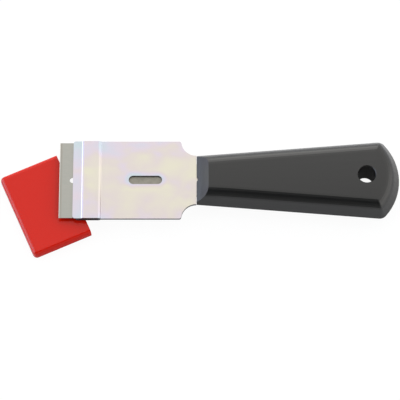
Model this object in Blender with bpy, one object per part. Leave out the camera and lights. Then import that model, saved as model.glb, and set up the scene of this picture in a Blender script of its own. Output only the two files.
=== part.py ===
# Glass scraper: a steel head with a sliding blade, a moulded handle and a pull-off cap.
# Units are metres. +X runs from the blade to the handle's end, +Y across, +Z up from the table.
# The origin is the middle of the handle's flat underside. The blade is drawn out, as in use.

import math

import bmesh
import bpy

# Blade
blade_width = 0.0430
blade_depth = 0.0142
blade_thickness = 0.0003
blade_reach = 0.0074
blade_bevel_length = 0.0014
blade_edge_thickness = 0.00004
blade_hole_diameter = 0.0030
blade_rear_hole_setback = 0.0026
blade_rear_hole_spacing = 0.0240
blade_side_play = 0.0006

# Sheets and the clearances between them
front_sheet = 0.0010
back_sheet = 0.0008
carrier_sheet = 0.0008
slide_play = 0.00015
seat_gap = 0.00005
lip_play = 0.0002

# Front plate, measured from the lip's edge
head_length = 0.0666
lip_length = 0.0047
raised_length = 0.0089
raised_step = 0.0006
first_step_run = 0.0013
second_step_run = 0.0015
lip_corner_radius = 0.0014
shoulder_radius = 0.0082
shoulder_corner_radius = 0.0010
slot_setback = 0.0164
slot_length = 0.0180
slot_width = 0.0048

# Back plate
back_plate_setback = 0.0012
channel_wall_run = 0.0020
channel_end_play = 0.0006
blade_stop_gap = 0.0008

# Tang inside the handle
tang_length = 0.0600
tang_width = 0.0180
tang_end_width = 0.0140
tang_corner_radius = 0.0020
tang_hole_diameter = 0.0060
tang_hole_setback = 0.0160
tang_hole_spacing = 0.0260
tang_play = 0.00025
neck_gap = 0.00015

# Blade carrier
carrier_setback = 0.0018
carrier_head_depth = 0.0051
carrier_head_width = 0.0400
carrier_tongue_width = 0.0240
carrier_tongue_tail = 0.0075
carrier_corner_radius = 0.0015
carrier_fillet = 0.0020
channel_side_play = 0.0003
nib_play = 0.0001

# Guide key, rivets, thumb button and friction spring
key_side_play = 0.0002
key_end_play = 0.00015
rivet_diameter = 0.0020
rivet_spacing = 0.0064
rivet_play = 0.0001
rivet_head_diameter = 0.0036
rivet_head_height = 0.0006
rivet_pocket_play = 0.0003
button_length = 0.0210
button_width = 0.0160
button_thickness = 0.0019
button_corner_radius = 0.0030
button_gap = 0.0002
ridge_height = 0.0009
ridge_width = 0.0012
ridge_side_margin = 0.0012
ridge_end_margin = 0.0022
spring_length = 0.0156
spring_width = 0.0110
spring_thickness = 0.0003
spring_window_margin = 0.0016
spring_pocket_play = 0.0003
spring_pocket_depth = 0.0009
spring_pocket_radius = 0.0006

# Handle
handle_length = 0.1091
handle_height = 0.0196
handle_nose_width = 0.0280
handle_end_margin = 0.00055
handle_corner_radius = 0.0045
handle_least_radius = 0.0010
handle_end_radius = 0.0310
handle_edge_radius = 0.0063
handle_wall_slope = math.radians(25)
handle_crown = 0.00045
handle_nose_thinning = 0.0016
handle_nose_thinning_length = 0.0200
nose_length = 0.0064
nose_wall = 0.0007
nose_notch_diameter = 0.0034
nose_notch_depth = 0.00065
hang_hole_diameter = 0.0096
hang_hole_setback = 0.0180
hang_hole_edge = 0.0004

# Cap
cap_depth = 0.0332
cap_end_wall = 0.0020
cap_side_wall = 0.0020
cap_face_wall = 0.00135
cap_play = 0.0003
cap_edge_radius = 0.0022
cap_mouth_lead = 0.0005
cap_corner_radius = 0.0024
cap_cavity_radius = 0.0010
cap_centre_x = -0.01496
cap_centre_y = -0.0130
cap_turn = math.radians(23.9)

# How far cutters run past what they cut
overrun = 0.0020

# Shares and counts
nose_hollow_share = 0.75
arc_steps = 6
wall_steps = 2
edge_steps = 6
side_steps = 14
corner_steps = 8
end_steps = 8
crown_steps = 5
ramp_run_share = 0.33
ramp_rise_share = 0.22
circle_steps = 32
ridge_count = 6
ridge_arc_steps = 5

# Worked-out places in the head: X from the lip's edge, Z from the front plate's main underside
head_width = blade_width + 2 * blade_side_play
carrier_top = -slide_play
carrier_bottom = carrier_top - carrier_sheet
blade_bottom = carrier_top + seat_gap
blade_top = blade_bottom + blade_thickness
lip_underside = blade_top + lip_play
raised_underside = lip_underside + raised_step
channel_top = carrier_bottom - slide_play
channel_bottom = channel_top - back_sheet
flange_top = -seat_gap
flange_bottom = flange_top - back_sheet
head_top = raised_underside + front_sheet
first_step = lip_length
second_step = lip_length + raised_length
blade_rear = blade_depth - blade_reach
slide_travel = second_step - blade_rear - blade_stop_gap
slot_front = second_step + slot_setback
slot_middle = slot_front + slot_length / 2
key_length = slot_length - slide_travel - 2 * key_end_play
key_width = slot_width - 2 * key_side_play
key_middle = slot_front + key_end_play + key_length / 2
key_top = carrier_bottom - seat_gap
tongue_end = key_middle + key_length / 2 + carrier_tongue_tail
channel_half_width = carrier_tongue_width / 2 + channel_side_play
channel_end = tongue_end + slide_travel + channel_end_play
neck_end = head_length - neck_gap
shoulder_start = neck_end - shoulder_radius
tang_end = head_length + tang_length
button_top = channel_bottom - button_gap
button_bottom = button_top - button_thickness
key_bottom = button_top + seat_gap
ridge_bottom = button_bottom - ridge_height
spring_floor = button_top - spring_pocket_depth

# Worked-out places of the whole tool
handle_half_height = handle_height / 2
plate_level = handle_half_height - (front_sheet + flange_bottom) / 2
handle_front = -handle_length / 2
lip_edge = handle_front - head_length
handle_end_width = head_width - 2 * handle_end_margin
end_centre_x = handle_length - handle_end_radius
side_end = end_centre_x + handle_end_radius / 2
side_angle = math.atan2((handle_end_width - handle_nose_width) / 2, side_end)
nose_face_half = (front_sheet - flange_bottom) / 2 + tang_play + nose_wall
cap_width = head_width + 2 * (cap_play + cap_side_wall)
cap_height = head_top - channel_bottom + 2 * (cap_play + cap_face_wall)
cap_cavity_bottom = cap_face_wall
cap_cavity_top = cap_height - cap_face_wall


def clear_scene():
    for old in list(bpy.data.objects):
        bpy.data.objects.remove(old, do_unlink=True)


def make_material(name, colour, metallic, roughness):
    material = bpy.data.materials.new(name)
    material.use_nodes = True
    shader = material.node_tree.nodes["Principled BSDF"]
    shader.inputs["Base Color"].default_value = (*colour, 1)
    shader.inputs["Metallic"].default_value = metallic
    shader.inputs["Roughness"].default_value = roughness
    return material


def add_empty(name, location, parent=None, turn=0):
    empty = bpy.data.objects.new(name, None)
    bpy.context.collection.objects.link(empty)
    empty.parent = parent
    empty.location = location
    empty.rotation_euler = (0, 0, turn)
    return empty


def add_object(name, points, faces, material=None, parent=None, sharp=math.radians(35), closed=True):
    mesh = bpy.data.meshes.new(name)
    mesh.from_pydata(points, [], faces)
    if closed:
        turner = bmesh.new()
        turner.from_mesh(mesh)
        bmesh.ops.connect_verts_nonplanar(turner, angle_limit=0, faces=turner.faces)
        bmesh.ops.recalc_face_normals(turner, faces=turner.faces)
        turner.to_mesh(mesh)
        turner.free()
    mesh.shade_smooth()
    mesh.set_sharp_from_angle(angle=sharp)
    made = bpy.data.objects.new(name, mesh)
    bpy.context.collection.objects.link(made)
    made.parent = parent
    if material:
        mesh.materials.append(material)
    return made


def add_helper(name, points, faces, parent=None):
    helper = add_object(name, points, faces, parent=parent)
    helper.hide_render = True
    helper.display_type = "WIRE"
    return helper


def combine(target, other, operation):
    modifier = target.modifiers.new(other.name, "BOOLEAN")
    modifier.operation = operation
    modifier.solver = "EXACT"
    modifier.object = other


def arc(centre_x, centre_y, radius, start, end, steps):
    """Points on an arc, from the start angle to the end angle."""
    found = []
    for step in range(steps + 1):
        angle = start + (end - start) * step / steps
        found.append((centre_x + radius * math.cos(angle), centre_y + radius * math.sin(angle)))
    return found


def upright(outline, low, high):
    """A solid with a flat outline in X and Y, from one height to another."""
    count = len(outline)
    points = [(x, y, low) for x, y in outline] + [(x, y, high) for x, y in outline]
    faces = [tuple(range(count)), tuple(range(2 * count - 1, count - 1, -1))]
    for i in range(count):
        j = (i + 1) % count
        faces.append((i, j, count + j, count + i))
    return points, faces


def across(outline, half_width):
    """A solid with a flat outline in X and Z, reaching the same way to both sides."""
    count = len(outline)
    points = [(x, -half_width, z) for x, z in outline] + [(x, half_width, z) for x, z in outline]
    faces = [tuple(range(count)), tuple(range(2 * count - 1, count - 1, -1))]
    for i in range(count):
        j = (i + 1) % count
        faces.append((i, j, count + j, count + i))
    return points, faces


def circle(x, y, radius):
    return arc(x, y, radius, 0, math.tau, circle_steps)[:-1]


def obround(x, length, width):
    """A slot's outline, along X and centred on Y."""
    reach = length / 2 - width / 2
    right = arc(x + reach, 0, width / 2, -math.pi / 2, math.pi / 2, circle_steps // 2)
    left = arc(x - reach, 0, width / 2, math.pi / 2, 3 * math.pi / 2, circle_steps // 2)
    return right + left


def rounded_rectangle(x_low, x_high, half_width, radius):
    return (
        arc(x_high - radius, half_width - radius, radius, 0, math.pi / 2, arc_steps)
        + arc(x_low + radius, half_width - radius, radius, math.pi / 2, math.pi, arc_steps)
        + arc(x_low + radius, radius - half_width, radius, math.pi, 3 * math.pi / 2, arc_steps)
        + arc(x_high - radius, radius - half_width, radius, 3 * math.pi / 2, math.tau, arc_steps)
    )


def mirrored(half_outline):
    """Closes an outline whose half with positive Y runs from low X to high X."""
    return [(x, -y) for x, y in half_outline] + half_outline[::-1]


def spread(start, end, steps):
    return [start + (end - start) * step / steps for step in range(steps + 1)]


def ramp_places(start, end):
    """Where a pressed step turns: its foot, its slope and its shoulder."""
    turn = (end - start) * ramp_run_share
    return [start, start + turn, end - turn, end]


def ramp(x, start, end):
    """Rises from 0 to 1 in a straight slope between two gentler ones."""
    share = min(max((x - start) / (end - start), 0), 1)
    if share < ramp_run_share:
        return share / ramp_run_share * ramp_rise_share
    if share > 1 - ramp_run_share:
        return 1 - (1 - share) / ramp_run_share * ramp_rise_share
    slope = (1 - 2 * ramp_rise_share) / (1 - 2 * ramp_run_share)
    return ramp_rise_share + (share - ramp_run_share) * slope


def pressed_sheet(name, x_places, y_places, height_at, thickness, side, material, parent):
    """A sheet that follows a height over a grid, thickened to one side."""
    points = [(x, y, height_at(x, y)) for x in x_places for y in y_places]
    row = len(y_places)
    faces = []
    for i in range(len(x_places) - 1):
        for j in range(row - 1):
            corner = i * row + j
            faces.append((corner, corner + row, corner + row + 1))
            faces.append((corner, corner + row + 1, corner + 1))
    sheet = add_object(name, points, faces, material, parent, closed=False)
    solidify = sheet.modifiers.new("thickness", "SOLIDIFY")
    solidify.thickness = thickness
    solidify.offset = side
    solidify.use_even_offset = True
    return sheet


def lid_rows(points, base, count, crown_at, steps):
    """Rows of points that close a level from one side to the other, raised to a crown."""
    rows = []
    for i in range(count // 2):
        x, y, z = points[base + i]
        row = [base + i]
        for step in range(1, steps):
            share = 1 - 2 * step / steps
            row.append(len(points))
            points.append((x, y * share, z + crown_at(abs(y)) * (1 - share * share)))
        rows.append(row + [base + count - 1 - i])
    return rows


def stacked_body(name, outline_at, levels, height_at, crown_at, crown_steps, material=None, parent=None):
    """A body whose outline shrinks from level to level, between a flat underside and a crowned top.

    For an inset, outline_at gives the points from one straight end to the other and back along
    the mirrored side.
    """
    count = len(outline_at(0))
    half = count // 2
    points = []
    for inset, share in levels:
        for x, y in outline_at(inset):
            points.append((x, y, height_at(x, share)))
    last = len(levels) - 1
    under = lid_rows(points, 0, count, crown_at, 1)
    over = lid_rows(points, last * count, count, crown_at, crown_steps)
    faces = []
    for rows in (under, over):
        for row, following in zip(rows, rows[1:]):
            for k in range(len(row) - 1):
                faces.append((row[k], row[k + 1], following[k + 1], following[k]))
    for level in range(last):
        low = level * count
        high = low + count
        for i in range(count):
            j = (i + 1) % count
            if j in (0, half):
                near = i if j else 0
                lower = under[near] if level == 0 else [low + near, low + count - 1 - near]
                upper = over[near] if level == last - 1 else [high + near, high + count - 1 - near]
                faces.append(tuple(lower + upper[::-1]))
            else:
                faces.append((low + i, low + j, high + j, high + i))
    return add_object(name, points, faces, material, parent)


def handle_corner(inset):
    """The corner at an inset: its centre, its radius and the angle at which the round end begins."""
    corner = max(handle_corner_radius - inset, handle_least_radius)
    reach = math.cos(side_angle) * handle_nose_width / 2 - inset - corner
    reach += math.sin(side_angle) * end_centre_x
    arm = handle_end_radius - inset - corner
    angle = side_angle + math.asin(reach / arm)
    return end_centre_x + arm * math.cos(angle), arm * math.sin(angle), corner, angle


def side_places():
    """Where the straight sides have points, at every level alike: up to their end and before any corner."""
    corners = [handle_corner(inset) for inset, share in handle_levels()]
    first_start = min(x - corner * math.sin(side_angle) for x, y, corner, angle in corners)
    return spread(-overrun, min(side_end, first_start - handle_least_radius), side_steps)


def handle_outline(inset):
    """The handle's outline in plan, drawn in by an inset: straight sides, tight corners, a round end."""
    corner_x, corner_y, corner, corner_angle = handle_corner(inset)
    end_radius = handle_end_radius - inset
    last_x = corner_x - corner * math.sin(side_angle)
    last_y = corner_y + corner * math.cos(side_angle)
    half = [(x, last_y - (last_x - x) * math.tan(side_angle)) for x in side_places()]
    half += arc(corner_x, corner_y, corner, math.pi / 2 + side_angle, corner_angle, corner_steps)
    half += arc(end_centre_x, 0, end_radius, corner_angle, 0, end_steps)[1:-1]
    half.append((end_centre_x + end_radius, seat_gap))
    half = [(x + handle_front, y) for x, y in half]
    return half + [(x, -y) for x, y in half[::-1]]


def handle_levels():
    """Pairs of inset and share of the half height, from the underside up to the top."""
    edge_height = handle_edge_radius * (1 - math.sin(handle_wall_slope))
    wall_height = handle_half_height - edge_height
    wall_inset = wall_height * math.tan(handle_wall_slope)
    shares = [step / wall_steps for step in range(1, wall_steps)]
    upper = [(wall_inset * share, wall_height * share) for share in shares]
    for angle in spread(handle_wall_slope, math.pi / 2, edge_steps):
        inset = wall_inset + handle_edge_radius * (math.cos(handle_wall_slope) - math.cos(angle))
        rise = handle_edge_radius * (math.sin(angle) - math.sin(handle_wall_slope))
        upper.append((inset, wall_height + rise))
    lower = [(inset, -height) for inset, height in upper[::-1]]
    return [(inset, height / handle_half_height) for inset, height in lower + [(0, 0)] + upper]


def handle_half_at(x):
    """Half the handle's height: it thins towards the nose."""
    share = 1 - min(max((x - handle_front) / handle_nose_thinning_length, 0), 1)
    return handle_half_height - handle_nose_thinning * share * share


def handle_height_at(x, share):
    return handle_half_height + share * handle_half_at(x)


def handle_crown_at(half_width):
    return handle_crown * min(2 * half_width / handle_nose_width, 1) ** 2


def nose_cutter():
    """Takes away what lies before the nose: a flat face and a hollow slanting face above and below it."""
    rise = handle_half_at(handle_front + nose_length) - nose_face_half
    last = (handle_half_height + handle_crown + overrun - nose_face_half) / rise
    upper = []
    for share in spread(0, last, side_steps):
        x = handle_front + nose_length * share**nose_hollow_share
        upper.append((x, handle_half_height + nose_face_half + rise * share))
    lower = [(x, handle_height - z) for x, z in upper[::-1]]
    start = handle_front - 2 * overrun
    outline = [(start, lower[0][1])] + lower + upper + [(start, upper[-1][1])]
    return add_helper("nose_cutter", *across(outline, handle_end_width))


def tang_half_outline(play):
    """The tang's half outline, in head measures, from inside the nose to its end."""
    start = head_length - overrun - play
    end = tang_end + play
    radius = tang_corner_radius + play
    half = [(start, tang_width / 2 + play)]
    return half + arc(end - radius, tang_end_width / 2 + play - radius, radius, math.pi / 2, 0, arc_steps)


def tang_holes():
    first = head_length + tang_hole_setback
    return [first, first + tang_hole_spacing]


def make_handle(material, head):
    handle = stacked_body(
        "handle", handle_outline, handle_levels(), handle_height_at, handle_crown_at, crown_steps, material
    )
    combine(handle, nose_cutter(), "DIFFERENCE")
    pocket = add_helper(
        "tang_pocket",
        *upright(mirrored(tang_half_outline(tang_play)), flange_bottom - tang_play, front_sheet + tang_play),
        parent=head,
    )
    post_radius = tang_hole_diameter / 2 - tang_play
    for number, x in enumerate(tang_holes()):
        post = add_helper(
            f"tang_post_{number}",
            *upright(circle(x, 0, post_radius), flange_bottom - overrun, front_sheet + overrun),
            parent=head,
        )
        combine(pocket, post, "DIFFERENCE")
    combine(handle, pocket, "DIFFERENCE")
    combine(handle, hang_hole_cutter(), "DIFFERENCE")
    chord = nose_notch_diameter / 2 - nose_notch_depth
    notch = add_helper(
        "nose_notch",
        *upright(
            circle(handle_front - chord, 0, nose_notch_diameter / 2),
            plate_level + front_sheet + tang_play / 2,
            handle_height + overrun,
        ),
    )
    combine(handle, notch, "DIFFERENCE")
    return handle


def hang_hole_cutter():
    """A straight hole whose two edges are eased."""
    centre = handle_front + handle_length - hang_hole_setback
    radius = hang_hole_diameter / 2
    top = handle_height + handle_crown
    rings = [
        (radius + hang_hole_edge + overrun, -overrun),
        (radius, hang_hole_edge),
        (radius, top - hang_hole_edge),
        (radius + hang_hole_edge + overrun, top + overrun),
    ]
    points = [(x, y, z) for ring_radius, z in rings for x, y in circle(centre, 0, ring_radius)]
    last = (len(rings) - 1) * circle_steps
    faces = [tuple(range(circle_steps)), tuple(range(last + circle_steps - 1, last - 1, -1))]
    for ring in range(len(rings) - 1):
        base = ring * circle_steps
        for i in range(circle_steps):
            j = (i + 1) % circle_steps
            faces.append((base + i, base + j, base + circle_steps + j, base + circle_steps + i))
    return add_helper("hang_hole_cutter", points, faces)


def plate_half_outline(front_edge):
    """Half of the outline that both plates share: side, shoulder, neck and tang."""
    side = head_width / 2
    corner = lip_corner_radius
    bulge = shoulder_corner_radius
    half = arc(front_edge + corner, side - corner, corner, math.pi, math.pi / 2, arc_steps)
    half += arc(shoulder_start - bulge, side - bulge, bulge, math.pi / 2, 0, arc_steps)
    meeting = math.pi + math.asin(bulge / shoulder_radius)
    half += arc(neck_end, side, shoulder_radius, meeting, 3 * math.pi / 2, corner_steps)
    half.append((neck_end, tang_width / 2))
    return half + tang_half_outline(0)[1:]


def sheet_reach(front_edge):
    return front_edge - overrun, tang_end + overrun


def front_underside_at(x, y):
    lift = lip_underside + raised_step * ramp(x, first_step, first_step + first_step_run)
    return lift * (1 - ramp(x, second_step, second_step + second_step_run))


def cut_tang_holes(plate, head):
    for number, x in enumerate(tang_holes()):
        hole = add_helper(
            f"{plate.name}_tang_hole_{number}",
            *upright(circle(x, 0, tang_hole_diameter / 2), channel_bottom - overrun, head_top + overrun),
            parent=head,
        )
        combine(plate, hole, "DIFFERENCE")


def trim_plate(plate, front_edge, head):
    outline = mirrored(plate_half_outline(front_edge))
    blank = add_helper(
        f"{plate.name}_blank",
        *upright(outline, channel_bottom - overrun, head_top + overrun),
        parent=head,
    )
    combine(plate, blank, "INTERSECT")
    slot = add_helper(
        f"{plate.name}_slot",
        *upright(obround(slot_middle, slot_length, slot_width), channel_bottom - overrun, head_top + overrun),
        parent=head,
    )
    combine(plate, slot, "DIFFERENCE")
    cut_tang_holes(plate, head)


def make_front_plate(material, head):
    low, high = sheet_reach(0)
    places = [low]
    places += ramp_places(first_step, first_step + first_step_run)
    places += ramp_places(second_step, second_step + second_step_run)
    places.append(high)
    reach = head_width / 2 + overrun
    plate = pressed_sheet(
        "front_plate", places, [-reach, reach], front_underside_at, front_sheet, 1, material, head
    )
    trim_plate(plate, 0, head)
    return plate


def back_top_at(x, y):
    flange = ramp(x, second_step, second_step + second_step_run)
    beside = ramp(abs(y), channel_half_width, channel_half_width + channel_wall_run)
    behind = ramp(x, channel_end, channel_end + channel_wall_run)
    lifted = flange * (beside + behind - beside * behind)
    return channel_top + (flange_top - channel_top) * lifted


def make_back_plate(material, head):
    low, high = sheet_reach(back_plate_setback)
    x_places = [low]
    x_places += ramp_places(second_step, second_step + second_step_run)
    x_places += ramp_places(channel_end, channel_end + channel_wall_run)
    x_places.append(high)
    wall = ramp_places(channel_half_width, channel_half_width + channel_wall_run)
    reach = head_width / 2 + overrun
    y_places = [-reach] + [-y for y in wall[::-1]] + wall + [reach]
    plate = pressed_sheet(
        "back_plate", x_places, y_places, back_top_at, back_sheet, -1, material, head
    )
    trim_plate(plate, back_plate_setback, head)
    return plate


def rivet_places():
    return [key_middle - rivet_spacing / 2, key_middle + rivet_spacing / 2]


def cut_rivet_holes(piece, carriage, low, high):
    for number, x in enumerate(rivet_places()):
        hole = add_helper(
            f"{piece.name}_rivet_hole_{number}",
            *upright(circle(x, 0, rivet_diameter / 2 + rivet_play), low - overrun, high + overrun),
            parent=carriage,
        )
        combine(piece, hole, "DIFFERENCE")


def carrier_outline():
    """A T: a wide head under the blade's rear and a tongue that runs in the channel."""
    head_half = carrier_head_width / 2
    tongue_half = carrier_tongue_width / 2
    head_rear = carrier_setback + carrier_head_depth
    corner = carrier_corner_radius
    half = arc(carrier_setback + corner, head_half - corner, corner, math.pi, math.pi / 2, arc_steps)
    half += arc(head_rear - corner, head_half - corner, corner, math.pi / 2, 0, arc_steps)
    fillet = carrier_fillet
    half += arc(head_rear + fillet, tongue_half + fillet, fillet, math.pi, 3 * math.pi / 2, arc_steps)
    half += arc(tongue_end - corner, tongue_half - corner, corner, math.pi / 2, 0, arc_steps)
    return mirrored(half)


def blade_rear_holes():
    x = blade_rear - blade_rear_hole_setback
    return [(x, -blade_rear_hole_spacing / 2), (x, blade_rear_hole_spacing / 2)]


def make_blade_carrier(material, carriage):
    carrier = add_object(
        "blade_carrier", *upright(carrier_outline(), carrier_bottom, carrier_top), material, carriage
    )
    nib_radius = blade_hole_diameter / 2 - nib_play
    for number, (x, y) in enumerate(blade_rear_holes()):
        nib = add_helper(
            f"blade_nib_{number}",
            *upright(circle(x, y, nib_radius), carrier_bottom + carrier_sheet / 2, blade_top),
            parent=carriage,
        )
        combine(carrier, nib, "UNION")
    return carrier


def make_blade(material, carriage):
    middle = (blade_bottom + blade_top) / 2
    edge = blade_edge_thickness / 2
    profile = [
        (-blade_reach, middle - edge),
        (blade_bevel_length - blade_reach, blade_bottom),
        (blade_rear, blade_bottom),
        (blade_rear, blade_top),
        (blade_bevel_length - blade_reach, blade_top),
        (-blade_reach, middle + edge),
    ]
    blade = add_object("blade", *across(profile, blade_width / 2), material, carriage, math.radians(3))
    holes = [(blade_depth / 2 - blade_reach, 0)] + blade_rear_holes()
    for number, (x, y) in enumerate(holes):
        hole = add_helper(
            f"blade_hole_{number}",
            *upright(circle(x, y, blade_hole_diameter / 2), blade_bottom - overrun, blade_top + overrun),
            parent=carriage,
        )
        combine(blade, hole, "DIFFERENCE")
    return blade


def make_guide_key(material, carriage):
    """A key under the carrier: it runs in the back plate's slot and stops the slide at both ends."""
    outline = obround(key_middle, key_length, key_width)
    key = add_object("guide_key", *upright(outline, key_bottom, key_top), material, carriage)
    cut_rivet_holes(key, carriage, key_bottom, key_top)
    return key


def make_rivet(name, x, material, carriage):
    """A head below, in the button's pocket, and a shank that is staked in the key."""
    head_top_level = button_bottom + rivet_head_height
    rings = [
        (rivet_head_diameter / 2 - rivet_play, button_bottom),
        (rivet_head_diameter / 2, button_bottom + rivet_play),
        (rivet_head_diameter / 2, head_top_level),
        (rivet_diameter / 2, head_top_level),
        (rivet_diameter / 2, key_top),
    ]
    points = [(px, py, z) for radius, z in rings for px, py in circle(x, 0, radius)]
    last = (len(rings) - 1) * circle_steps
    faces = [tuple(range(circle_steps)), tuple(range(last + circle_steps - 1, last - 1, -1))]
    for ring in range(len(rings) - 1):
        base = ring * circle_steps
        for i in range(circle_steps):
            j = (i + 1) % circle_steps
            faces.append((base + i, base + j, base + circle_steps + j, base + circle_steps + i))
    return add_object(name, points, faces, material, carriage)


def ridge_outline(x):
    """A rounded ridge's outline in X and Z, sunk a little into the button's underside."""
    bow = arc(x, 0, ridge_width / 2, math.pi, math.tau, ridge_arc_steps)
    stretch = ridge_height / (ridge_width / 2)
    below = [(px, button_bottom + py * stretch) for px, py in bow]
    sunk = button_bottom + ridge_height
    return below + [(x + ridge_width / 2, sunk), (x - ridge_width / 2, sunk)]


def make_thumb_button(material, carriage):
    start = key_middle - button_length / 2
    end = key_middle + button_length / 2
    outline = rounded_rectangle(start, end, button_width / 2, button_corner_radius)
    button = add_object("thumb_button", *upright(outline, button_bottom, button_top), material, carriage)
    pocket = add_helper(
        "spring_pocket",
        *upright(
            rounded_rectangle(
                key_middle - spring_length / 2 - spring_pocket_play,
                key_middle + spring_length / 2 + spring_pocket_play,
                spring_width / 2 + spring_pocket_play,
                spring_pocket_radius,
            ),
            spring_floor,
            button_top + overrun,
        ),
        parent=carriage,
    )
    combine(button, pocket, "DIFFERENCE")
    pad_outline = obround(key_middle, key_length, key_width)
    pad = add_helper(
        "key_pad",
        *upright(pad_outline, button_bottom + button_thickness / 4, button_top),
        parent=carriage,
    )
    combine(button, pad, "UNION")
    places = spread(start + ridge_end_margin, end - ridge_end_margin, ridge_count - 1)
    for number, x in enumerate(places):
        ridge = add_helper(
            f"button_ridge_{number}",
            *across(ridge_outline(x), button_width / 2 - ridge_side_margin),
            parent=carriage,
        )
        combine(button, ridge, "UNION")
    cut_rivet_holes(button, carriage, ridge_bottom, button_top)
    for number, x in enumerate(rivet_places()):
        pocket = add_helper(
            f"rivet_pocket_{number}",
            *upright(
                circle(x, 0, rivet_head_diameter / 2 + rivet_pocket_play),
                ridge_bottom - overrun,
                button_bottom + rivet_head_height + seat_gap,
            ),
            parent=carriage,
        )
        combine(button, pocket, "DIFFERENCE")
    return button


def make_friction_spring(material, carriage):
    """A bowed leaf with a window round the key; its crown bears on the back plate."""
    half = spring_length / 2
    low = spring_floor + seat_gap
    high = channel_bottom - seat_gap - spring_thickness
    under = []
    for x in spread(-half, half, 2 * arc_steps):
        share = math.cos(math.pi * x / spring_length)
        under.append((key_middle + x, low + (high - low) * share))
    over = [(x, z + spring_thickness) for x, z in under[::-1]]
    spring = add_object("friction_spring", *across(under + over, spring_width / 2), material, carriage)
    window = add_helper(
        "spring_window",
        *upright(
            rounded_rectangle(
                key_middle - half + spring_window_margin,
                key_middle + half - spring_window_margin,
                slot_width / 2 + spring_pocket_play,
                carrier_corner_radius,
            ),
            low - overrun,
            channel_bottom + overrun,
        ),
        parent=carriage,
    )
    combine(spring, window, "DIFFERENCE")
    return spring


def cap_outline(inset):
    """The cap's outline from one end of the mouth round the closed end and back."""
    half_depth = cap_depth / 2
    half_width = cap_width / 2 - inset
    radius = cap_corner_radius - inset
    half = [(half_depth, half_width), (0, half_width)]
    half += arc(radius + inset - half_depth, half_width - radius, radius, math.pi / 2, math.pi, corner_steps)
    return half + [(x, -y) for x, y in half[::-1]]


def cap_levels():
    edge = [
        (cap_edge_radius * (1 - math.sin(angle)), cap_edge_radius * (1 - math.cos(angle)))
        for angle in spread(0, math.pi / 2, arc_steps)
    ]
    return edge + [(inset, cap_height - height) for inset, height in edge[::-1]]


def cap_height_at(x, height):
    return height


def no_crown(half_width):
    return 0


def make_blade_cap(material, place):
    cap = stacked_body("blade_cap", cap_outline, cap_levels(), cap_height_at, no_crown, 1, material, place)
    half_depth = cap_depth / 2
    cavity = add_helper(
        "cap_cavity",
        *upright(
            rounded_rectangle(
                cap_end_wall - half_depth,
                half_depth + overrun + cap_cavity_radius,
                cap_width / 2 - cap_side_wall,
                cap_cavity_radius,
            ),
            cap_cavity_bottom,
            cap_cavity_top,
        ),
        parent=place,
    )
    combine(cap, cavity, "DIFFERENCE")
    lead = add_helper("cap_lead", *mouth_lead(), parent=place)
    combine(cap, lead, "DIFFERENCE")
    return cap


def mouth_lead():
    """A flared block that eases the mouth's four inner edges."""
    half_depth = cap_depth / 2
    half_width = cap_width / 2 - cap_side_wall
    points = []
    for x, growth in ((half_depth - cap_mouth_lead, 0), (half_depth + cap_mouth_lead, cap_mouth_lead)):
        low = cap_cavity_bottom - growth
        high = cap_cavity_top + growth
        side = half_width + growth
        points += [(x, -side, low), (x, side, low), (x, side, high), (x, -side, high)]
    faces = [(0, 3, 2, 1), (4, 5, 6, 7), (0, 1, 5, 4), (1, 2, 6, 5), (2, 3, 7, 6), (3, 0, 4, 7)]
    return points, faces


def build():
    clear_scene()
    black_plastic = make_material("black_moulded_plastic", (0.045, 0.045, 0.046), 0, 0.42)
    zinc = make_material("zinc_plated_sheet", (0.73, 0.71, 0.72), 1, 0.34)
    grey_steel = make_material("plain_steel_strip", (0.32, 0.32, 0.29), 1, 0.45)
    blade_steel = make_material("blade_steel", (0.46, 0.46, 0.43), 1, 0.38)
    spring_steel = make_material("spring_steel", (0.35, 0.34, 0.32), 1, 0.35)
    red_plastic = make_material("red_moulded_plastic", (0.63, 0.035, 0.027), 0, 0.35)

    head = add_empty("head_frame", (lip_edge, 0, plate_level))
    carriage = add_empty("carriage_frame", (0, 0, 0), head)
    cap_place = add_empty("cap_frame", (lip_edge + cap_centre_x, cap_centre_y, 0), turn=cap_turn)

    make_handle(black_plastic, head)
    make_front_plate(zinc, head)
    make_back_plate(zinc, head)
    make_blade_carrier(grey_steel, carriage)
    make_blade(blade_steel, carriage)
    make_guide_key(grey_steel, carriage)
    make_thumb_button(black_plastic, carriage)
    make_friction_spring(spring_steel, carriage)
    for name, x in zip(("slider_rivet_front", "slider_rivet_rear"), rivet_places()):
        make_rivet(name, x, grey_steel, carriage)
    make_blade_cap(red_plastic, cap_place)


build()
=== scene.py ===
# Glass scraper: finishes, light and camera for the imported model. Blender units are metres.

import math

import bpy
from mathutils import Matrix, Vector


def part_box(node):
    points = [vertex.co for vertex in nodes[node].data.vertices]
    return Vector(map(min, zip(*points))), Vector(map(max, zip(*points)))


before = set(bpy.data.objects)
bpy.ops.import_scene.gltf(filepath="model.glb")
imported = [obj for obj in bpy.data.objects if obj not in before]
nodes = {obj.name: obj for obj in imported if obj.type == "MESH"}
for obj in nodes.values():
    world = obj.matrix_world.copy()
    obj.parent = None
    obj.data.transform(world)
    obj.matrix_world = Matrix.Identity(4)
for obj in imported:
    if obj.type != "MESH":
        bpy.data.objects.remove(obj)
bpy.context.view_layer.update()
print("frame loaded:", len(nodes), "pieces")

mm = 0.001  # one millimetre
inMm = 1000  # object coordinates times this are millimetres
noiseMiddle = 0.5  # noise runs from 0 to 1 round this
sharpAngle = 35  # degrees: faces that meet at less are shaded as one surface


# Colours and nodes

def linearColour(hexText):
    # from sRGB to linear light, opaque
    channels = []
    for start in (1, 3, 5):
        share = int(hexText[start:start + 2], 16) / 255
        channels.append(share / 12.92 if share <= 0.04045 else ((share + 0.055) / 1.055) ** 2.4)
    return (*channels, 1)


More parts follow.
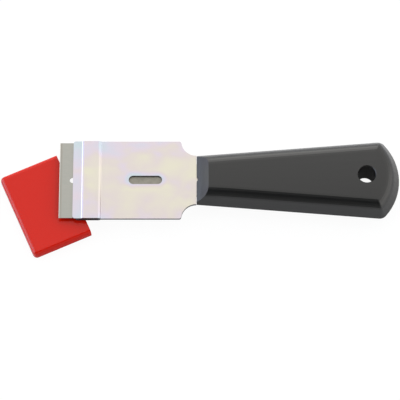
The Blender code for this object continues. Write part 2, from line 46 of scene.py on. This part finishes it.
def addNode(tree, kind, inputs=None, **settings):
    # inputs are values or other nodes' sockets; settings are the node's own properties
    node = tree.nodes.new("ShaderNode" + kind)
    for name, value in settings.items():
        setattr(node, name, value)
    for name, value in (inputs or {}).items():
        if isinstance(value, bpy.types.NodeSocket):
            tree.links.new(value, node.inputs[name])
        else:
            node.inputs[name].default_value = value
    return node


def newMaterial(name):
    material = bpy.data.materials.new(name)
    material.use_nodes = True
    material.node_tree.nodes.clear()
    return material, material.node_tree


def finishMaterial(tree, shader):
    addNode(tree, "OutputMaterial", {"Surface": shader})


def finishPrincipled(tree, inputs):
    finishMaterial(tree, addNode(tree, "BsdfPrincipled", inputs).outputs["BSDF"])


def rampColour(tree, factor, stops):
    # stops are (place, hex colour)
    node = addNode(tree, "ValToRGB", {"Fac": factor})
    ramp = node.color_ramp
    while len(ramp.elements) > 1:
        ramp.elements.remove(ramp.elements[-1])
    for index, (place, colour) in enumerate(stops):
        element = ramp.elements[0] if index == 0 else ramp.elements.new(place)
        element.position = place
        element.color = linearColour(colour)
    return node.outputs["Color"]


def calculate(tree, operation, first, second=0):
    return addNode(tree, "Math", {0: first, 1: second}, operation=operation).outputs[0]


def away(tree, value, middle):
    # how far a value is from a middle one, to either side
    return calculate(tree, "ABSOLUTE", calculate(tree, "SUBTRACT", value, middle))


def between(tree, value, low, high, full, rest=0):
    # rest up to low, full from high on, smooth in between; high may be the smaller one
    return addNode(
        tree, "MapRange",
        {"Value": value, "From Min": low, "From Max": high, "To Min": rest, "To Max": full},
        interpolation_type="SMOOTHSTEP",
    ).outputs["Result"]


def splitAxes(tree, place):
    return addNode(tree, "SeparateXYZ", {"Vector": place}).outputs


def placeInMm(tree):
    # where a point is on the object, in millimetres
    place = addNode(tree, "TexCoord").outputs["Object"]
    scaled = addNode(tree, "VectorMath", {0: place, "Scale": inMm}, operation="SCALE")
    return scaled.outputs["Vector"]


def evenNoise(tree, size, settings):
    # spots of about that size in millimetres
    place = placeInMm(tree)
    return addNode(tree, "TexNoise", {"Vector": place, "Scale": 1 / size, **settings}).outputs["Fac"]


def stretchedNoise(tree, place, size, stretch, settings):
    # the same, drawn out along X where the stretch is below 1
    scale = (stretch / size, 1 / size, 1 / size)
    drawn = addNode(tree, "Mapping", {"Vector": place, "Scale": scale}).outputs["Vector"]
    return addNode(tree, "TexNoise", {"Vector": drawn, "Scale": 1, **settings}).outputs["Fac"]


def bumpNormal(tree, height, depthMm):
    return addNode(tree, "Bump", {"Height": height, "Distance": depthMm * mm}).outputs["Normal"]


# Sheet steel, zinc plated and blue passivated: a soft metal shine. The clear film is thicker
# in the middle, where it looks cream, and thinner at the edges and round the slot, where it
# goes through lilac to a pale blue. Places are in millimetres. The film's thickness, its drops
# and its gain go from 0, the thinnest, to 1.

zincLook = {
    "film": (  # colours from the thinnest film to the thickest
        (0.02, "#c0cfd6"), (0.22, "#cacbd9"), (0.38, "#d2c9d4"), (0.52, "#d3cbc9"), (0.80, "#d7d4c4"),
    ),
    "creamInMiddle": 0.67,  # thickness away from every edge
    "cloudMm": 11,
    "cloudStretch": 0.75,
    "cloudShare": 1.0,  # how far the clouds swing the thickness
    "cloudNoise": {"Detail": 2, "Roughness": 0.45, "Distortion": 0.3},
    "edgeCentre": -1.8,  # Y of the line that the edges are measured from
    "edge": (11, 23),  # over these distances the film thins by the drop; so for lip, west and halo
    "edgeDrop": 0.31,
    "lip": (-114.5, -116.8),
    "lipDrop": 0.24,
    "raisedMiddle": -112.0,  # X of the raised zone's middle
    "raised": (3.9, 5.0),  # distances from that middle over which the gain fades
    "raisedGain": 0.24,  # what the raised zone gets back at the edges
    "west": (-88, -108),  # towards the blade
    "westDrop": 0.14,
    "slotX": -82.15,
    "slotHalfLength": 6.6,
    "halo": (2.4, 6.0),  # from the slot's middle line
    "haloDrop": 0.46,
    "roughness": 0.31,
    "grainMm": 0.35,  # rolling grain, finer on the real sheet: drawn as coarse as it needs to show
    "grainStretch": 0.12,
    "grainNoise": {"Detail": 2},
    "grainDepthMm": 0.0008,
}


def slotDistance(tree, axes, look):
    # how far a point is from the slot's straight middle line
    along = away(tree, axes["X"], look["slotX"])
    beyond = calculate(tree, "MAXIMUM", calculate(tree, "SUBTRACT", along, look["slotHalfLength"]))
    squares = calculate(
        tree, "ADD",
        calculate(tree, "POWER", beyond, 2),
        calculate(tree, "MULTIPLY", axes["Y"], axes["Y"]),
    )
    return calculate(tree, "SQRT", squares)


def zincFilm(tree, place, look):
    # clouds round the middle's thickness, plus the gain and less the drops
    axes = splitAxes(tree, place)
    clouds = stretchedNoise(tree, place, look["cloudMm"], look["cloudStretch"], look["cloudNoise"])
    swing = calculate(
        tree, "MULTIPLY", calculate(tree, "SUBTRACT", clouds, noiseMiddle), look["cloudShare"]
    )
    thickness = calculate(tree, "ADD", swing, look["creamInMiddle"])
    aside = away(tree, axes["Y"], look["edgeCentre"])
    fromRaised = away(tree, axes["X"], look["raisedMiddle"])
    raised = calculate(tree, "SUBTRACT", 1, between(tree, fromRaised, *look["raised"], 1))
    gain = calculate(
        tree, "MULTIPLY",
        calculate(tree, "MULTIPLY", raised, look["raisedGain"]),
        between(tree, aside, *look["edge"], 1),
    )
    thickness = calculate(tree, "ADD", thickness, gain)
    fromSlot = slotDistance(tree, axes, look)
    drops = (
        between(tree, aside, *look["edge"], look["edgeDrop"]),
        between(tree, axes["X"], *look["lip"], look["lipDrop"]),
        between(tree, axes["X"], *look["west"], look["westDrop"]),
        calculate(
            tree, "SUBTRACT", look["haloDrop"], between(tree, fromSlot, *look["halo"], look["haloDrop"])
        ),
    )
    for drop in drops:
        thickness = calculate(tree, "SUBTRACT", thickness, drop)
    return rampColour(tree, thickness, look["film"])


def zincPlatedSteel():
    look = zincLook
    material, tree = newMaterial("zincPlatedSteel")
    place = placeInMm(tree)
    grain = stretchedNoise(tree, place, look["grainMm"], look["grainStretch"], look["grainNoise"])
    finishPrincipled(tree, {
        "Base Color": zincFilm(tree, place, look),
        "Metallic": 1,
        "Roughness": look["roughness"],
        "Normal": bumpNormal(tree, grain, look["grainDepthMm"]),
    })
    return material


# The sheets' cut edges: sheared and broken steel under a thin plating, rough; their darker grey is
# partly bare steel and partly painted shade

shearedLook = {
    # darker greys: partly the bare steel, partly painted shade on the edges
    "tones": ((0.35, "#66666b"), (0.65, "#85858a")),
    "tearMm": 0.25,
    "tearNoise": {"Detail": 2},
    "roughness": 0.5,
    "sideways": 0.25,  # a face counts as an edge when its normal's height is below this
}


def shearedSteelEdgeWithPaintedShade():
    look = shearedLook
    material, tree = newMaterial("shearedSteelEdgeWithPaintedShade")
    tears = evenNoise(tree, look["tearMm"], look["tearNoise"])
    finishPrincipled(tree, {
        "Base Color": rampColour(tree, tears, look["tones"]),
        "Metallic": 1,
        "Roughness": look["roughness"],
    })
    return material


# Carbon steel strip, ground: flat grey, with grinding lines square to the edge. Along the edge,
# colour stands in for light: a painted highlight on the honed edge and painted shade on the bevel

bladeLook = {
    "tones": ((0.35, "#a2a49e"), (0.65, "#a9a8a2")),
    # painted highlight on the honed edge, then painted shade over the bevel
    "paintedGlintAndBevelShade": ((0, "#dddbd6"), (0.16, "#d0cdc6"), (0.28, "#97958d"), (0.80, "#a3a19a")),
    "bevelMm": 1.7,
    "flatFrom": 0.9,  # share of the bevel's width from which the flat's tones show
    "lineMm": 0.22,
    "lineStretch": 0.05,
    "lineNoise": {"Detail": 2},
    "lineDepthMm": 0.0006,
    "roughness": 0.36,
}


def groundBladeSteel():
    look = bladeLook
    material, tree = newMaterial("groundBladeSteel")
    place = placeInMm(tree)
    lines = stretchedNoise(tree, place, look["lineMm"], look["lineStretch"], look["lineNoise"])
    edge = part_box("blade")[0][0] * inMm
    fromEdge = addNode(
        tree, "MapRange",
        {"Value": splitAxes(tree, place)["X"], "From Min": edge, "From Max": edge + look["bevelMm"]},
    ).outputs["Result"]
    # colour standing in for light along the edge: painted highlight and painted shade
    paintedGlintAndBevelShade = rampColour(tree, fromEdge, look["paintedGlintAndBevelShade"])
    ground = rampColour(tree, lines, look["tones"])
    onFlat = calculate(tree, "GREATER_THAN", fromEdge, look["flatFrom"])
    # a colour mix has its two colours in inputs 6 and 7 and its result in output 2
    colour = addNode(tree, "Mix", {"Factor": onFlat, 6: paintedGlintAndBevelShade, 7: ground}, data_type="RGBA")
    finishPrincipled(tree, {
        "Base Color": colour.outputs[2],
        "Metallic": 1,
        "Roughness": look["roughness"],
        "Normal": bumpNormal(tree, lines, look["lineDepthMm"]),
    })
    return material


# Plain cold-rolled steel, no plating: duller and warmer grey

stripLook = {
    "tones": ((0.3, "#86847b"), (0.7, "#97958b")),
    "patchMm": 2.5,
    "patchNoise": {"Detail": 5, "Roughness": 0.6},
    "roughness": 0.44,
}


def plainSteelStrip():
    look = stripLook
    material, tree = newMaterial("plainSteelStrip")
    patches = evenNoise(tree, look["patchMm"], look["patchNoise"])
    finishPrincipled(tree, {
        "Base Color": rampColour(tree, patches, look["tones"]),
        "Metallic": 1,
        "Roughness": look["roughness"],
    })
    return material


# Black polypropylene, moulded in a spark-eroded tool: near black with a fine matt grain.
# The core pin of the hang hole leaves a duller skin, and the hole's wall is painted lighter, as painted
# fill light.

handleLook = {
    "tones": ((0.3, "#0c0d0d"), (0.7, "#111212")),
    "roughness": 0.32,
    "specular": 0.57,
    "grainMm": 0.28,
    "grainDepthMm": 0.003,
    "ior": 1.55,
}
holeLookPaintedFill = {
    # lighter than the handle's tones: painted light, standing in for fill light on the hole's wall
    "tones": ((0.3, "#1c1c1c"), (0.7, "#222222")),
    "roughness": 0.45,
    "specular": 0.5,
    "grainMm": 0.28,
    "grainDepthMm": 0.006,
    "ior": 1.35,
}
hangHole = {
    "x": 36.55,  # mm, as are y and radius
    "y": 0,
    "radius": 4.95,  # the hole's faces have their centres inside this
    "sideways": 0.5,  # and their normals' height is below this
}

# Red polyethylene, moulded: saturated colour under a satin surface. The cap leaves its mould
# along its length, which drags its long sides dull. Fingers burnish the closed end.

capLook = {
    "tones": ((0.3, "#ce1908"), (0.7, "#d11c09")),
    "roughness": 0.14,
    "draggedRoughness": 0.7,
    "dragged": (0.35, 0.85),  # how far a face has turned to a long side, from no dullness to full
    "specular": 0.36,
    "burnishedSpecular": 0.7,
    "burnished": (0.1, 0.5),  # the same towards the closed end
    "turn": 23.9,  # degrees that the cap lies at
    "grainMm": 0.9,
    "grainDepthMm": 0.002,
    "ior": 1.45,
}
plasticNoise = {"Detail": 3, "Roughness": 0.55}  # of the grain on all three


def facing(tree, direction):
    # 1 where a face looks that way, 0 where it is square to it
    normal = addNode(tree, "TexCoord").outputs["Normal"]
    product = addNode(tree, "VectorMath", {0: normal, 1: direction}, operation="DOT_PRODUCT")
    return product.outputs["Value"]


def wornFinish(tree, look):
    # roughness and specular level: duller long sides and a glossier closed end
    turn = math.radians(look["turn"])
    sideways = calculate(tree, "ABSOLUTE", facing(tree, (-math.sin(turn), math.cos(turn), 0)))
    endways = facing(tree, (-math.cos(turn), -math.sin(turn), 0))
    duller = between(tree, sideways, *look["dragged"], look["draggedRoughness"] - look["roughness"])
    glossier = between(tree, endways, *look["burnished"], look["burnishedSpecular"] - look["specular"])
    roughness = calculate(tree, "ADD", duller, look["roughness"])
    specular = calculate(tree, "ADD", glossier, look["specular"])
    return roughness, specular


def mouldedPlastic(name, look):
    material, tree = newMaterial(name)
    roughness, specular = look["roughness"], look["specular"]
    if "dragged" in look:
        roughness, specular = wornFinish(tree, look)
    grain = evenNoise(tree, look["grainMm"], plasticNoise)
    finishPrincipled(tree, {
        "Base Color": rampColour(tree, grain, look["tones"]),
        "Roughness": roughness,
        "IOR": look["ior"],
        "Specular IOR Level": specular,
        "Normal": bumpNormal(tree, grain, look["grainDepthMm"]),
    })
    return material


# Each piece gets its finish

def dress(nodeName, material):
    mesh = nodes[nodeName].data
    mesh.materials.clear()
    mesh.materials.append(material)
    mesh.shade_smooth()
    mesh.set_sharp_from_angle(angle=math.radians(sharpAngle))


def dressFaces(nodeName, material, chosen):
    # a second material, for the faces that chosen says yes to
    mesh = nodes[nodeName].data
    mesh.materials.append(material)
    for face in mesh.polygons:
        if chosen(face):
            face.material_index = 1


def isCutEdge(face):
    return abs(face.normal.z) < shearedLook["sideways"]


def isInHangHole(face):
    centre = nodes["handle"].matrix_world @ face.center * inMm
    inside = math.hypot(centre.x - hangHole["x"], centre.y - hangHole["y"]) < hangHole["radius"]
    return inside and abs(face.normal.z) < hangHole["sideways"]


zinc = zincPlatedSteel()
cutEdge = shearedSteelEdgeWithPaintedShade()
strip = plainSteelStrip()
blackPlastic = mouldedPlastic("mouldedBlackPlastic", handleLook)
for nodeName in ("front_plate", "back_plate"):
    dress(nodeName, zinc)
    dressFaces(nodeName, cutEdge, isCutEdge)
dress("blade", groundBladeSteel())
for nodeName in (
    "blade_carrier", "guide_key", "slider_rivet_front", "slider_rivet_rear", "friction_spring",
):
    dress(nodeName, strip)
for nodeName in ("handle", "thumb_button"):
    dress(nodeName, blackPlastic)
dressFaces("handle", mouldedPlastic("dullBlackPlasticPaintedFill", holeLookPaintedFill), isInHangHole)
dress("blade_cap", mouldedPlastic("mouldedRedPlastic", capLook))
print("finishes made")


# The floor is white paper. The camera sees it nearly evenly lit, with a faint shadow, and
# reflections see more of the shadow. Light bounces from it as from plain paper.

floorLook = {
    "size": 8,  # metres
    "paper": 0.8,  # how much light it bounces
    "seenShadow": 0.08,  # how much of the floor's tone follows the light, to the camera
    "mirroredShadow": 0.75,  # the same in reflections
    "seenLevel": 1.02,
    "mirroredLevel": 0.88,
    "dropMm": 0.05,  # below the undersides that rest on it
}


def pick(tree, switch, off, on):
    # one value where the switch is 0, the other where it is 1
    return addNode(tree, "MapRange", {"Value": switch, "To Min": off, "To Max": on}).outputs["Result"]


def makeFloor():
    look = floorLook
    bpy.ops.mesh.primitive_plane_add(size=look["size"], location=(0, 0, -look["dropMm"] * mm))
    floor = bpy.context.object
    floor.name = "studioFloor"
    material, tree = newMaterial("whitePaperSweep")
    rays = addNode(tree, "LightPath").outputs
    mirrored = calculate(tree, "MAXIMUM", rays["Is Glossy Ray"], rays["Is Transmission Ray"])
    seen = calculate(tree, "MAXIMUM", rays["Is Camera Ray"], mirrored)
    share = pick(tree, mirrored, look["seenShadow"], look["mirroredShadow"])
    level = pick(tree, mirrored, look["seenLevel"], look["mirroredLevel"])
    dimmed = addNode(tree, "BsdfDiffuse", {"Color": share})
    glow = addNode(tree, "Emission", {"Strength": calculate(tree, "SUBTRACT", level, share)})
    seenFloor = addNode(tree, "AddShader", {0: dimmed.outputs[0], 1: glow.outputs[0]})
    paper = addNode(tree, "BsdfDiffuse", {"Color": (look["paper"],) * 3 + (1,)})
    mixed = addNode(tree, "MixShader", {0: seen, 1: paper.outputs[0], 2: seenFloor.outputs[0]})
    # a camera below the floor sees through it to the underside
    behind = addNode(tree, "NewGeometry").outputs["Backfacing"]
    below = calculate(tree, "MULTIPLY", behind, rays["Is Camera Ray"])
    clear = addNode(tree, "BsdfTransparent")
    shown = addNode(tree, "MixShader", {0: below, 1: mixed.outputs[0], 2: clear.outputs[0]})
    finishMaterial(tree, shown.outputs[0])
    floor.data.materials.append(material)


# The studio is one wide sky: even light from above and the north, brighter low walls in the
# north, west and east, and little from the south overhead, where the camera stands. A dim low
# wall in the south keeps views from behind from mirroring black. A reach is along the
# direction's own axis, where 0 is straight up and 1 is the horizon, and the light rises over
# it from southLevel to the wall's own. A wall with a within is that bright only in its middle:
# across it, the light goes over to besideLevel from the first value to the second.

skyLook = {
    "north": {"axis": "Y", "reach": (-0.14, 0.10), "level": 1.185},
    "northWall": {
        "axis": "Y", "reach": (0.15, 0.95), "level": 2.75, "across": "X", "within": (0.2, 0.35),
    },
    "westWall": {
        "axis": "X", "reach": (-0.45, -0.85), "level": 2.95, "across": "Y", "within": (0.38, 0.5),
    },
    "eastWall": {
        "axis": "X", "reach": (0.15, 0.85), "level": 1.85, "across": "Y", "within": (0.38, 0.5),
    },
    "southWall": {"axis": "Y", "reach": (-0.68, -0.85), "level": 0.25},
}
southLevel = 0.03
besideLevel = 1.1
skyTint = {"rest": "#fffdfa", "west": "#e4edff", "reach": (-0.3, -0.9)}  # bluer towards the west


def makeWorld():
    world = bpy.data.worlds.new("studio")
    world.use_nodes = True
    bpy.context.scene.world = world
    tree = world.node_tree
    tree.nodes.clear()
    axes = splitAxes(tree, addNode(tree, "TexCoord").outputs["Generated"])
    level = southLevel
    for look in skyLook.values():
        full = look["level"]
        if "within" in look:
            aside = calculate(tree, "ABSOLUTE", axes[look["across"]])
            full = between(tree, aside, *look["within"], besideLevel, look["level"])
        part = between(tree, axes[look["axis"]], *look["reach"], full, southLevel)
        level = calculate(tree, "MAXIMUM", level, part)
    west = between(tree, axes["X"], *skyTint["reach"], 1)
    tint = rampColour(tree, west, ((0, skyTint["rest"]), (1, skyTint["west"])))
    light = addNode(tree, "Background", {"Color": tint, "Strength": level})
    white = addNode(tree, "Background", {"Color": (1, 1, 1, 1), "Strength": 1})  # to the camera
    toCamera = addNode(tree, "LightPath").outputs["Is Camera Ray"]
    seen = addNode(tree, "MixShader", {0: toCamera, 1: light.outputs[0], 2: white.outputs[0]})
    addNode(tree, "OutputWorld", {"Surface": seen.outputs[0]})


# The camera stands in the south and looks down at the photograph's angle

cameraLook = {
    "target": (-52.75, -11.2, 9.8),  # mm
    "distance": 1.3,  # metres
    "elevation": 70,  # degrees above the horizon
    "frameWidth": 0.215,  # metres that the picture spans at the tool
}


def makeCamera():
    look = cameraLook
    elevation = math.radians(look["elevation"])
    back = Vector((0, -math.cos(elevation), math.sin(elevation)))
    lens = bpy.data.cameras.new("studioCamera")
    lens.angle = 2 * math.atan(look["frameWidth"] / 2 / look["distance"])
    camera = bpy.data.objects.new("studioCamera", lens)
    bpy.context.scene.collection.objects.link(camera)
    camera.location = Vector(look["target"]) * mm + back * look["distance"]
    camera.rotation_euler = back.to_track_quat("Z", "Y").to_euler()
    bpy.context.scene.camera = camera


makeFloor()
makeWorld()
makeCamera()
bpy.context.scene.view_settings.view_transform = "Standard"
print("studio made")
